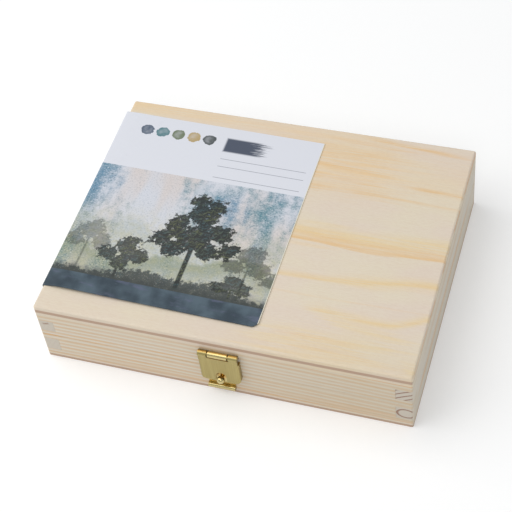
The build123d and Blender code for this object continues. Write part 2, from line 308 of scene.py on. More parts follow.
def boxed(tree, place, middle, half, edge):
    """The mask of an upright box."""
    return use(tree, box_mask, Place=place, Middle=middle, Half=half, Edge=edge)["Mask"]


def banded(tree, place, line, rise, low, high, reach, ragged, bump=0, at=0, wide=10):
    """The mask of one band of late wood. reach is its left, whole, ends and right."""
    left, whole, ends, right = reach
    return use(
        tree, late_wood_band, Place=place, Line=line, Rise=rise, Bump=bump, At=at, Wide=wide, Low=low,
        High=high, Left=left, Whole=whole, Ends=ends, Right=right, Ragged=ragged,
    )["Mask"]


def board_material(name, turned, pith, ring, wander, start=0.35, peak=0.7, cut=0.1, line=0.75,
                   flat=(1, 1, 1), uneven=1.0, fall=0.0, streaks=(), glue=0.3, fleck=None):
    """Bare pine. turned is true where the grain runs along Y. pith is the heart of the tree, seen along
    the grain, in millimetres; ring, wander, start, peak, uneven and fall go to the grain, whose place is
    scaled by flat. cut and line are how dark late wood is on the ends and on the faces, glue how dark
    the line round each tongue is, and fleck the middle of a brown mark on an end. streaks are single
    bands on the upright faces, with their height in place of their line."""
    material, tree, shader, place, normal = new_material(name)
    along = place
    if turned:
        quarter = (0, 0, -math.pi / 2)
        along = placed(tree, place, rotation=quarter)
        normal = placed(tree, normal, rotation=quarter, kind="NORMAL")
    grain = use(
        tree, pine_grain, Place=placed(tree, along, flat), Pith=pith, Ring=ring, Wander=wander, Start=start,
        Peak=peak, Uneven=uneven, Fall=fall, Crest=CREST,
    )
    # Faces: late wood in patches, some of it amber, then single streaks, pores and paler fibres
    face = mixed(tree, grain["Tone"], PINE_PALE, PINE)
    patchy = ramp(tree, noise(tree, along, (0.012, 0.4, 0.4), 3.0), 0.35, 0.65, 0.55, 1.0)
    face = mixed(tree, times(tree, grain["Late"], line, patchy), face, PINE_LATE)
    amber = ramp(tree, noise(tree, along, (0.02, 0.55, 0.55)), 0.6, 0.72)
    face = mixed(tree, times(tree, amber, grain["Late"], 0.35), face, PINE_AMBER)
    upright = placed(tree, along, rotation=(-math.pi / 2, 0, 0))
    sheer = either_way(tree, normal, 2, 0.6, 0.4)
    for tone, strength, height, rise, low, high, reach, ragged in streaks:
        streak = banded(tree, upright, height, rise, low, high, reach, ragged)
        face = mixed(tree, times(tree, streak, sheer, strength), face, tone)
    face = mixed(tree, times(tree, grain["Pore"], 0.16), face, PINE_END_LATE)
    face = mixed(tree, ramp(tree, grain["Fibre"], 0.4, 0.75, 0.0, 0.3), face, PINE_PALE)
    # Ends: rings and speckle, a dark seam round each tongue, and the fleck
    end = either_way(tree, normal, 0, 0.6, 0.9)
    speckle = ramp(tree, noise(tree, along, (0.2, 3.0, 3.0), 3.0), 0.35, 0.7, 0.0, 0.25)
    ground = PINE_END if turned else PINE
    ends = mixed(tree, times(tree, grain["Late"], cut), ground, PINE_END_LATE)
    ends = mixed(tree, speckle, ends, PINE_PALE)
    if turned:
        inside = 0.0
        for middle, half in zip(TONGUES, TONGUE_HALF):
            room = boxed(tree, placed(tree, place, (0, 0, 1)), (0, 0, middle), (9, 9, half - 0.1), 0.3)
            inside = sums(tree, "ADD", inside, room)
        root = either_way(tree, place, 0, *TONGUE_ROOT)
        seam = sums(tree, "SUBTRACT", 1.0, times(tree, inside, root))
        ends = mixed(tree, times(tree, seam, glue), ends, PINE_END_LATE)
    if fleck:
        mark = boxed(tree, placed(tree, place, rotation=(0, FLECK_TILT, 0)), fleck, FLECK_HALF, 0.9)
        mark = times(tree, mark, ramp(tree, grain["Fibre"], 0.3, 0.6, 0.3, 0.7))
        ends = mixed(tree, mark, ends, PINE_END_LATE)
    colour = mixed(tree, end, face, ends)
    height = sums(tree, "SUBTRACT", grain["Fibre"], times(tree, grain["Late"], 0.5))
    coat(tree, shader, colour, PLANED_GLOSS, height, GRAIN_DEPTH)
    return material


# The reach of a band that runs the whole length
ALL = (-200.0, -199.0, 199.0, 200.0)
# Where the front board's lines stand highest, and how fast they fall away from there
CREST = -35.0
FRONT_FALL = 0.00014
# Each: colour, strength, height, rise in a hundred, how far below and above, reach, ragged
FRONT_STREAKS = (
    # Painted shade: this first streak darkens the whole height of the front towards its right end
    (PINE_PAINTED_SHADE, 0.28, 17.0, 0.0, 22.0, 22.0, (-30, 70, 199, 200), 0.6),
    (PINE_AMBER, 0.55, 4.6, -1.3, 0.4, 0.5, (-120, 20, 199, 200), 0.3),
    (PINE_AMBER, 0.4, 7.6, -1.3, 0.4, 0.5, (10, 60, 199, 200), 0.3),
    (PINE_AMBER, 0.45, 32.7, -1.2, 0.4, 0.5, (-20, 40, 199, 200), 0.3),
    (PINE_AMBER, 0.9, 17.7, 0.0, 0.4, 0.4, (-91, -86, -83, -78), 0.2),
    (PINE_AMBER, 0.45, 1.8, 0.0, 0.4, 0.5, (-200, -199, -60, -20), 0.3),
)
RIGHT_STREAKS = (
    (PINE_AMBER, 0.48, 14.9, 4.8, 1.8, 1.8, (-64, -50, 40, 62), 0.6),
    (PINE_LATE, 0.6, 27.0, 2.0, 1.6, 1.6, (-56, -34, 24, 52), 0.8),
    (PINE_PALE, 0.5, 21.0, 3.0, 2.4, 2.4, ALL, 0.8),
    (PINE_PALE, 0.5, 8.0, 4.0, 2.4, 2.0, ALL, 0.8),
)
front_pine = board_material(
    "pine_front", False, (0, -30, -69.6), ring=2.49, wander=0.5, start=0.3, peak=0.55, line=1.0,
    uneven=0.3, fall=FRONT_FALL, streaks=FRONT_STREAKS,
)
back_pine = board_material("pine_back", False, (0, -10, -95), ring=2.6, wander=2.5)
left_pine = board_material(
    "pine_left", True, (0, -40, -60), ring=2.2, wander=3.0, cut=0.04, glue=0.12, fleck=(-76.9, -70, 46.5),
)
right_lid_pine = board_material(
    "pine_right_lid", True, (0, -116, -27.6), ring=2.6, wander=0.5, start=0.58, peak=0.84, cut=0.95,
    line=0.3, uneven=0.0, streaks=RIGHT_STREAKS,
)
right_base_pine = board_material(
    "pine_right_base", True, (0, -65.9, 10.2), ring=3.6, wander=0.3, start=0.64, peak=0.86, cut=0.95,
    line=0.3, flat=(1, 0.76, 1), uneven=0.0, streaks=RIGHT_STREAKS,
)
dress(front_pine, "base_front_board", "lid_front_board")
dress(back_pine, "base_back_board", "lid_back_board")
dress(left_pine, "base_left_board", "lid_left_board")
dress(right_lid_pine, "lid_right_board")
dress(right_base_pine, "base_right_board")

# Lid and bottom panels
# Three-ply pine board glued over each frame, its arris rounded by sanding. The face shows broad amber
# bands of late wood along the case. The middle ply shows its end grain along the front and the back.
LID_PALE = (228, 216, 194)
LID_PINK = (227, 212, 196)
LID_WARM = (234, 206, 164)
LID_AMBER = (231, 189, 130)
# A painted shade for the front strip of the lid
LID_PAINTED_SHADE = (214, 192, 160)
LID_YELLOW = (234, 210, 159)
CORE = (200, 170, 145)
CORE_DARK = (180, 149, 128)
VENEER_END = (238, 222, 198)
VENEER_END_LATE = (222, 170, 118)
PLY_END = (212, 197, 172)
VENEER_END_LOW = (229, 217, 197)
LID_FIBRE = (232, 223, 206)
SANDED_GLOSS = 0.6
# Where the middle ply lies in each panel. The bottom panel's reaches below its lower face, over the
# lower veneer, so its dark band there is partly the ply and partly a painted contact shade.
LID_CORE, BOTTOM_CORE_AND_SHADE = (33.7, 35.7), (-0.4, 1.8)
# Each: colour, strength, line, rise, low, high, reach, ragged, streaky, and any bump, at and wide
LID_BANDS = (
    # Warm ground at the back, right of the card, and its left part behind the card
    (LID_WARM, 0.9, 44.0, 0.0, 13.0, 16.0, (-20, 20, 42, 68), 2.5, 0.6),
    (LID_WARM, 0.35, 45.0, 0.0, 12.0, 16.0, (50, 60, 199, 200), 2.5, 0.6),
    (LID_WARM, 0.75, 67.0, 0.0, 3.5, 4.0, (-20, -60, -200, -201), 0.6, 0.4),
    (LID_WARM, 0.6, 66.0, 0.0, 5.0, 4.0, (60, 20, -200, -201), 0.8, 0.4),
    # Amber streaks in the warm ground
    (LID_AMBER, 0.6, 30.5, -1.0, 1.6, 3.4, (-60, 10, 44, 72), 1.8, 1.0),
    (LID_AMBER, 0.55, 38.0, -2.0, 1.6, 2.2, (-20, 10, 42, 60), 1.8, 1.0),
    (LID_AMBER, 0.6, 46.5, -3.0, 1.8, 1.8, (-20, 14, 40, 58), 2.0, 1.0),
    (LID_AMBER, 0.5, 56.0, -4.0, 5.0, 5.5, (-20, 18, 38, 60), 2.6, 1.0),
    (LID_AMBER, 0.7, 42.3, -5.0, 0.9, 1.2, (58, 72, 199, 200), 0.5, 0.5),
    (LID_AMBER, 0.35, 32.0, -3.0, 1.0, 0.8, (44, 60, 199, 200), 0.6, 0.6),
    (LID_AMBER, 0.8, 70.2, -8.2, 0.9, 1.5, (30, 50, 74, 96), 0.4, 0.5),
    (LID_AMBER, 0.6, 64.2, -3.6, 0.8, 1.2, (14, 34, 50, 72), 0.5, 0.5),
    # The broad band across the middle
    (LID_YELLOW, 0.85, 1.6, 0.0, 4.0, 4.0, ALL, 1.2, 0.5, 3.6, 88, 22),
    (LID_YELLOW, 0.4, 7.6, 0.0, 0.8, 1.2, (14, 24, 34, 46), 0.5, 0.3),
    (LID_AMBER, 0.6, -2.9, 0.0, 0.45, 6.4, ALL, 0.3, 0.8, -2.3, 54, 20),
    (LID_AMBER, 0.55, -3.1, 0.0, 0.35, 1.6, ALL, 0.3, 0.3, -2.3, 54, 20),
    (LID_AMBER, 0.3, 0.2, -1.0, 0.5, 0.9, ALL, 0.7, 0.8, 1.0, 88, 18),
    (LID_PALE, 0.5, 5.2, -3.8, 0.3, 0.5, (56, 66, 199, 200), 0.3, 0.3),
    (LID_WARM, 0.45, -6.2, 0.0, 0.9, 0.7, (-40, 0, 28, 40), 0.8, 0.5),
    # The narrow band in front of it
    (LID_YELLOW, 0.7, -26.4, 4.0, 0.9, 2.0, ALL, 0.5, 0.3, 4.2, 86, 24),
    (LID_YELLOW, 0.6, -26.4, 4.0, 1.8, 3.6, (30, 60, 199, 200), 0.6, 0.3, 4.2, 86, 24),
    (LID_AMBER, 0.3, -26.4, 4.0, 0.6, 1.8, ALL, 0.5, 0.5, 4.2, 86, 24),
    (LID_WARM, 0.35, -28.4, 4.0, 2.0, 2.0, (40, 70, 199, 200), 0.9, 0.5, 4.2, 86, 24),
    # The third band, which starts in a point, and what lies below it
    (LID_YELLOW, 0.75, -39.3, -8.5, 1.8, 2.8, (30, 44, 199, 200), 0.6, 0.3, 12.0, 98, 17),
    (LID_AMBER, 0.2, -39.3, -8.5, 0.6, 0.9, (32, 42, 199, 200), 0.4, 0.5, 12.0, 98, 17),
    (LID_YELLOW, 0.65, -42.8, -11.0, 1.6, 2.6, (40, 52, 72, 88), 0.8, 0.4),
    (LID_YELLOW, 0.75, -61.5, 0.0, 9.0, 7.5, (8, 36, 60, 88), 3.0, 0.8),
    (LID_AMBER, 0.3, -57.5, -2.0, 0.9, 1.4, (12, 26, 50, 66), 1.0, 0.8),
    (LID_AMBER, 0.3, -62.5, -2.0, 0.9, 1.4, (24, 36, 62, 76), 1.0, 0.8),
    (LID_WARM, 0.45, -67.0, 0.0, 3.0, 3.5, (-10, 30, 70, 86), 1.6, 0.9),
    (LID_YELLOW, 0.8, -67.0, 0.0, 3.5, 5.0, (84, 87, 199, 200), 1.0, 0.9),
    (LID_AMBER, 0.2, -35.6, 1.0, 0.4, 0.6, ALL, 0.5, 0.8),
    # Painted shade: the lid's front strip is darkened along its length, more towards the right
    (LID_PAINTED_SHADE, 0.12, -68.0, 0.0, 4.0, 7.0, ALL, 1.0, 0.3),
    (LID_PAINTED_SHADE, 0.2, -66.0, 0.0, 5.0, 12.0, (30, 60, 199, 200), 1.0, 0.3),
)
PANEL_END, STAIN_REACH = 90, 4
# Each: middle along Y, half its length, how dark
LID_STAINS = (
    (56.0, 15.0, 0.8), (24.0, 7.0, 0.9), (-5.5, 3.5, 0.8), (-30.0, 6.0, 0.75), (-48.0, 7.0, 0.6),
    (-62.0, 5.0, 0.4),
)
BOTTOM_BANDS = (
    (LID_YELLOW, 0.7, 12.0, 3.0, 0.6, 6.0, ALL, 0.8, 0.5, 6.0, -20, 30),
    (LID_AMBER, 0.6, -30.0, -4.0, 0.5, 4.0, ALL, 0.6, 0.5, -5.0, 10, 25),
    (LID_WARM, 0.7, 50.0, 2.0, 9.0, 9.0, ALL, 2.0, 0.8),
)


def panel_material(name, core_low, core_high, bands, stains=(), end_darkening=0.0):
    """Three-ply board. The middle ply lies between the core's heights. The bands are on the faces, and
    where they reach an end they darken the upper ply's end grain. Each stain is a darker stretch of
    that end grain, and the last argument is how much darker all of the end grain is made, towards the
    core's dark colour."""
    material, tree, shader, place, normal = new_material(name)
    grain = use(tree, pine_grain, Place=place, Pith=(0, 20, -400), Ring=9.0, Wander=40.0)
    # Faces: a pale to pink ground, bands broken by streaks, pale lines in them, fibres and pores
    cloud = noise(tree, place, (0.02, 0.05, 0.05), 3.0)
    colour = mixed(tree, ramp(tree, cloud, 0.35, 0.65), LID_PALE, LID_PINK)
    streak = ramp(tree, noise(tree, place, (0.02, 0.75, 0.75), 4.0, 0.7), 0.4, 0.56)
    figure = 0.0
    for tone, strength, line, rise, low, high, reach, ragged, streaky, *bump in bands:
        band = banded(tree, place, line, rise, low, high, reach, ragged, *bump)
        whole = ramp(tree, streak, 0.0, 1.0, 1.0 - 0.75 * streaky, 1.0)
        share = times(tree, band, strength, whole)
        colour = mixed(tree, share, colour, tone)
        figure = sums(tree, "MAXIMUM", figure, share)
    bare = ramp(tree, noise(tree, place, (0.02, 1.15, 1.15), 3.0, 0.65), 0.54, 0.62, 0.0, 0.7)
    colour = mixed(tree, times(tree, bare, ramp(tree, figure, 0.1, 0.6)), colour, LID_PALE)
    fine = noise(tree, place, (0.5, 2.2, 2.2), 3.0, 0.7)
    colour = mixed(tree, ramp(tree, fine, 0.62, 0.35, 0.0, 0.14), colour, CORE)
    colour = mixed(tree, ramp(tree, grain["Fibre"], 0.45, 0.75, 0.0, 0.3), colour, LID_FIBRE)
    colour = mixed(tree, times(tree, grain["Pore"], 0.12), colour, LID_AMBER)
    lies_flat = either_way(tree, normal, 2, 0.3, 0.6)
    end = either_way(tree, normal, 0, 0.55, 0.8)
    # Edges: two veneers, the upper one darkened by the bands and the stains, and the core between
    z = axes(tree, place)[2]
    ends_late = ramp(tree, figure, 0.3, 0.8, 0.0, 0.5)
    for middle, half, amount in stains:
        stain = boxed(tree, place, (PANEL_END, middle, 0), (STAIN_REACH, half, 99), 3.0)
        ends_late = sums(tree, "MAXIMUM", ends_late, times(tree, stain, amount))
    ends_late = times(tree, ends_late, ramp(tree, z, core_high, core_high + 0.4))
    upper = ramp(tree, z, core_high - 0.3, core_high + 0.3)
    veneer = mixed(tree, upper, VENEER_END_LOW, VENEER_END)
    veneer = mixed(tree, ends_late, veneer, VENEER_END_LATE)
    veneer = mixed(tree, end_darkening, veneer, CORE_DARK)
    side = mixed(tree, times(tree, end, ramp(tree, fine, 0.3, 0.7, 0.8, 1.0)), colour, veneer)
    z = sums(tree, "ADD", z, centred(tree, noise(tree, place, (0.04, 0.04, 0.0)), 0.35))
    rise = ramp(tree, z, core_low - 0.2, core_low + 0.25)
    fall = ramp(tree, z, core_high + 0.25, core_high - 0.2)
    core = mixed(tree, noise(tree, place, (0.25, 0.25, 2.5), 3.0, 0.7), CORE, CORE_DARK)
    core = mixed(tree, times(tree, end, 1.0 - end_darkening), core, PLY_END)
    side = mixed(tree, times(tree, rise, fall), side, core)
    colour = mixed(tree, lies_flat, side, colour)
    coat(tree, shader, colour, SANDED_GLOSS, grain["Fibre"], GRAIN_DEPTH)
    return material


dress(panel_material("pine_lid_panel", *LID_CORE, LID_BANDS, LID_STAINS), "top_panel")
dress(panel_material("pine_bottom_panel", *BOTTOM_CORE_AND_SHADE, BOTTOM_BANDS, end_darkening=0.45), "bottom_panel")

# Clasp and hinges
# Pressed brass sheet, brushed up and down and lacquered, with rolled knuckles on plain pins. Each leaf
# is nailed to the wood with round-headed brass nails.
BRASS = (170, 156, 104)
BRASS_BRIGHT = (178, 165, 112)
BRASS_DEEP = (150, 128, 74)
BRASS_GOLD = (226, 210, 154)
# A painted reflection: the orange gold laid on brass that faces up
BRASS_TOP_REFLECTION = (234, 178, 84)
# A painted shade beside the stud's neck, and a painted amber reflection round the stud
BRASS_PAINTED_SHADE, BRASS_PAINTED_REFLECTION = (60, 46, 24), (210, 168, 88)
BRUSH_DEPTH, DRAWN_DEPTH = 0.006, 0.001
# Where the plate covers the catch, where the brass gets a painted reflection and a painted shade:
# axis and radius, front, lower end, and the neck's painted shade
STUD_AXIS = (0.4, 0.0, 14.925)
SEAT_RADIUS = 4.4
SEAT_FRONT, SEAT_END, NECK_SHADE = (-73.0, -72.2), (10.6, 11.2), (17.0, 14.2)


def brass_material(name, gold, rough, depth, seat=0.0):
    """Brass with brush lines along Z: noise drawn out along Z, in colour, gloss and height. gold is the
    share of the paler colour, and what faces up is painted a warmer gold as a painted reflection. seat
    is how strongly the brass within SEAT_RADIUS of the stud's axis, behind the plate, is painted amber
    as a painted reflection; both sides of the neck are painted dark there as a painted shade."""
    material, tree, shader, place, normal = new_material(name)
    broad = noise(tree, place, (0.9, 0.9, 0.02))
    lines = noise(tree, place, (5.0, 5.0, 0.12), 3.0, 0.6)
    colour = mixed(tree, ramp(tree, broad, 0.42, 0.6), BRASS, BRASS_BRIGHT)
    colour = mixed(tree, ramp(tree, lines, 0.6, 0.3, 0.0, 0.3), colour, BRASS_DEEP)
    colour = mixed(tree, gold, colour, BRASS_GOLD)
    # Painted reflection: brass that faces up is tinted orange gold
    up = ramp(tree, axes(tree, normal)[2], 0.88, 1.0, 0.0, 0.5)
    colour = mixed(tree, up, colour, BRASS_TOP_REFLECTION)
    # Painted reflection: amber round the stud behind the plate; painted shade: dark on both sides of its neck
    if seat:
        away = vectors(tree, "MULTIPLY", vectors(tree, "SUBTRACT", place, STUD_AXIS), (1, 0, 1))
        _, y, z = axes(tree, place)
        near = times(tree, ramp(tree, y, *SEAT_FRONT, 0.0, seat), ramp(tree, z, *SEAT_END))
        near = times(tree, ramp(tree, size_of(tree, away), SEAT_RADIUS + 0.6, SEAT_RADIUS - 1.6), near)
        colour = mixed(tree, near, colour, BRASS_PAINTED_REFLECTION)
        aside = either_way(tree, away, 0, 1.2, 2.4, 0.0, 0.7)
        aside = times(tree, near, aside, ramp(tree, z, *NECK_SHADE))
        colour = mixed(tree, aside, colour, BRASS_PAINTED_SHADE)
    shader.inputs["Metallic"].default_value = 1.0
    coat(tree, shader, colour, ramp(tree, lines, 0.3, 0.7, rough, rough + 0.1), lines, depth)
    return material


dress(brass_material("brushed_brass", 0.0, 0.3, BRUSH_DEPTH), "hasp_plate")
dress(brass_material("catch_brass", 0.55, 0.17, DRAWN_DEPTH, 0.8), "catch_plate", "catch_stud")
dress(
    brass_material("drawn_brass", 0.55, 0.17, DRAWN_DEPTH), "latch_leaf", "latch_pin", "latch_nails",
    "catch_nails", "hinge_leaf_base_left", "hinge_leaf_base_right", "hinge_leaf_lid_left",
    "hinge_leaf_lid_right", "hinge_pins", "hinge_nails_base", "hinge_nails_lid",
)

# Printed card
# A sheet of smooth card lies on the lid and is folded down over its left edge. It holds itself a little
# off the wood at its front edge and at the back of the fold. It is printed with a washed landscape.
CARD_LENGTH = 106.0
CARD_FLAP = 19.0
CARD_FRONT = -56.9
CARD_BACK = 60.8
CARD_SKEW = math.radians(1.0)
CARD_BEND = 0.7
CARD_THICK = 0.4
CARD_SOFT = 0.06
CARD_CUT = 2.2
# How far the card stands off at its front edge and at the fold, and how far each dies away
FRONT_LIFT, FRONT_ARCH, FRONT_REACH = 0.25, 1.3, 11.0
ARCH_RISE, ARCH_REACH = 5.0, 60.0
FOLD_LIFT, FOLD_REACH, LIFT_START = 0.6, 14.0, 6.0
FOLD_STAND, STAND_REACH = 0.9, 60.0
lid_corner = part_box("top_panel")[1] * MM


def card_grid(along, across):
    """The card's outer face. One parameter runs from the flap's lower edge, round a quarter bend, to the
    right edge; the other from the front edge to the back edge, which both fall to the right by the skew.
    The front right corner is cut. The front edge stands off by the lift, plus an arch that dies away to
    the right; both rise from nothing at the fold and die away to the back. The fold lifts by the cube of
    the way to the back and stands out by its square, which fades to the right by a sixth power. What
    dies away is the exponential of less the distance over its reach. Beside the points: the shares of
    the flat card where each lies, and its length."""
    quarter = math.pi / 2 * CARD_BEND
    flap = CARD_FLAP - CARD_BEND
    total = flap + quarter + CARD_LENGTH - CARD_BEND + CARD_THICK
    s = np.concatenate((
        np.linspace(0, flap, 12, endpoint=False),
        np.linspace(flap, flap + quarter, 10, endpoint=False),
        np.linspace(flap + quarter, total, along),
    ))[:, None]
    t = np.linspace(0.0, 1.0, across)[None, :]
    turned = np.clip((s - flap) / CARD_BEND, 0, math.pi / 2)
    beyond = np.maximum(s - flap - quarter, 0)
    x = CARD_BEND * (1 - np.cos(turned)) + beyond - CARD_THICK
    z = -CARD_BEND * (1 - np.sin(turned)) - np.maximum(flap - s, 0)
    drop = beyond * math.tan(CARD_SKEW)
    y = CARD_FRONT + (CARD_BACK - CARD_FRONT) * t - drop
    y = np.maximum(y, CARD_FRONT - drop + np.maximum(x - CARD_LENGTH + CARD_CUT, 0))
    on_lid = np.clip((s - flap) / (quarter + LIFT_START), 0, 1)
    inward = np.maximum(x, 0)
    arch = (1 - np.exp(-inward / ARCH_RISE)) * (FRONT_LIFT + FRONT_ARCH * np.exp(-inward / ARCH_REACH))
    lift = arch * np.exp(-(y - CARD_FRONT + drop) / FRONT_REACH)
    lift = lift + FOLD_LIFT * np.exp(-x / FOLD_REACH) * t ** 3
    stand = FOLD_STAND * t ** 2 * np.clip((STAND_REACH - x) / STAND_REACH, 0, 1) ** 6
    x = x - stand - lid_corner.x
    z = z + lift * on_lid + lid_corner.z + CARD_THICK
    x, y, z, s, t = np.broadcast_arrays(x, y, z, s, t)
    return np.stack((x, y, z), -1) / MM, np.stack((s / total, t), -1), total


def surface(name, points, flat=None, closed=False):
    """A mesh of quads between a grid's points, joined to itself across where closed, with its own flat
    coordinates where they are given. A closed grid ends in poles, whose points are merged."""
    rows, columns = points.shape[:2]
    index = np.arange(rows * columns).reshape(rows, columns)
    if closed:
        index = np.concatenate((index, index[:, :1]), 1)
    quads = np.stack((index[:-1, :-1], index[1:, :-1], index[1:, 1:], index[:-1, 1:]), -1).reshape(-1, 4)
    mesh = bpy.data.meshes.new(name)
    mesh.from_pydata(points.reshape(-1, 3).tolist(), [], quads.tolist())
    if flat is not None:
        layer = mesh.uv_layers.new(name="flat")
        layer.data.foreach_set("uv", flat.reshape(-1, 2)[quads.ravel()].astype(np.float32).ravel())
    if closed:
        work = bmesh.new()
        work.from_mesh(mesh)
        bmesh.ops.remove_doubles(work, verts=work.verts, dist=1e-7)
        bmesh.ops.recalc_face_normals(work, faces=work.faces)
        work.to_mesh(mesh)
        work.free()
    mesh.shade_smooth()
    piece = bpy.data.objects.new(name, mesh)
    scene.collection.objects.link(piece)
    return piece


card_points, card_flat, card_total = card_grid(along=107, across=120)
card = surface("printed_card", card_points, card_flat)
thickness = card.modifiers.new("card thickness", "SOLIDIFY")
thickness.thickness = CARD_THICK / MM
thickness.offset = -1.0
edges = card.modifiers.new("cut edges", "BEVEL")
edges.width, edges.segments, edges.limit_method = CARD_SOFT / MM, 2, "ANGLE"
edges.angle_limit = math.radians(60)
edges.harden_normals = True

CARD_WHITE = (224, 226, 234)
CARD_EDGE = (234, 228, 210)
CARD_GLOSS, PIGMENT_DEPTH = 0.5, 0.006
INK = (52, 64, 86)
GRAIN_BLUE, GRAIN_PALE = (74, 108, 124), (228, 230, 230)
SLATE, SLATE_PALE, LILAC = (46, 62, 74), (80, 98, 110), (98, 102, 130)
SKY_PALE, SKY_BLUE, SKY_TEAL = (214, 217, 226), (104, 144, 172), (96, 142, 156)
STRAW, ROSE = (204, 198, 166), (218, 206, 200)
FAR_HILL, MIDDLE_HILL, NEAR_HILL = (150, 166, 158), (126, 138, 104), (52, 58, 56)
LEAF_DARK, LEAF_OLIVE, LEAF_TEAL = (26, 31, 30), (96, 102, 66), (62, 88, 92)
SWATCHES = ((58, 80, 104), (78, 124, 132), (98, 112, 78), (182, 158, 106), (56, 66, 66))
PICTURE_LOW, PICTURE_HIGH = 10.6, 80.6
# Each trunk stands from this height to its first clump's middle
TRUNK_FOOT = 12.0
# The swatches: the first one's middle, the step to the next, and how far wash and pool reach
SWATCH_ROW, SWATCH_STEP = (14.5, 107.5), 8.4
SWATCH_RADIUS, POOL_RADIUS = 3.4, 2.6
# The rules' heights, middle and half size, and the brush stroke's middle and half size
RULE_HEIGHTS, RULE_MIDDLE, RULE_HALF = (96.3, 91.2, 83.6), 79.8, (22.3, 0.16, 1)
STROKE_MIDDLE, STROKE_HALF = (76.0, 106.0, 0), (19.0, 4.6, 1)
# Each hill: colour, height, the swing, wave and start of two sines, how soft its ridge is, how fine and
# how high its treetops are, how deep it goes before mist thins it, how much ink
HILLS = (
    (FAR_HILL, 42.0, (6.0, 27.0, 0.4), (3.0, 11.0, 2.0), 3.5, 0.10, 5.0, 16.0, 0.32),
    (MIDDLE_HILL, 29.0, (5.0, 34.0, 2.9), (2.5, 13.0, 0.3), 2.4, 0.22, 6.0, 15.0, 0.6),
    (NEAR_HILL, 15.0, (3.5, 47.0, 5.3), (1.5, 12.5, 1.2), 1.0, 0.42, 6.0, 26.0, 0.9),
)
# Each tree: how much ink, its trunk's place and half width, then each clump's place and radius
TREES = (
    (0.5, (11, 0.5), ((11, 37, 7), (5, 31, 5), (17, 32, 5.5), (-4, 29, 5))),
    (0.62, (92, 0.5), ((92, 37, 7), (98, 31, 5.5), (86, 31, 5.5), (104, 26, 4.5))),
    (0.97, (62, 1.2), (
        (62, 58, 8.5), (52, 49, 7), (73, 48, 7), (58, 66, 5), (67, 64, 5), (45, 40, 6), (79, 39, 5.5),
        (61, 43, 9.5), (70, 37, 6.5), (53, 35, 6),
    )),
    (0.9, (31, 0.7), ((31, 31, 6.5), (25, 25, 5), (37, 26, 5.5), (31, 22, 6))),
    (0.88, (88, 0.5), ((88, 22, 5), (93, 18, 4.5), (83, 18, 4.5))),
)


def clump_effect():
    """A clump of leaves: one where the distance from its middle plus the offset is under its radius. The
    lower half is drawn in, with the depth under the middle counted a third more where Flat is one."""
    tree, given, out = effect(
        "leaf_clump",
        {"Place": ORIGIN, "Middle": ORIGIN, "Radius": 5.0, "Offset": 0.0, "Edge": 0.8, "Flat": 1.0},
        ("Mask",),
    )
    x, y, _ = axes(tree, vectors(tree, "SUBTRACT", given["Place"], given["Middle"]))
    lower = times(tree, sums(tree, "MINIMUM", y, 0.0), given["Flat"], 0.35)
    y = sums(tree, "ADD", y, lower)
    away = sums(tree, "SQRT", sums(tree, "ADD", times(tree, x, x), times(tree, y, y)))
    away = sums(tree, "ADD", away, given["Offset"])
    inside = sums(tree, "DIVIDE", sums(tree, "SUBTRACT", given["Radius"], away), given["Edge"])
    tree.links.new(ramp(tree, inside, -0.5, 0.5), out["Mask"])
    return tree


leaf_clump = clump_effect()


def clumped(tree, place, middle, radius, offset, edge, flat):
    """The mask of one clump of leaves, or of a round spot where flat is nothing."""
    return use(
        tree, leaf_clump, Place=place, Middle=(*middle, 0), Radius=radius, Offset=offset, Edge=edge, Flat=flat
    )["Mask"]


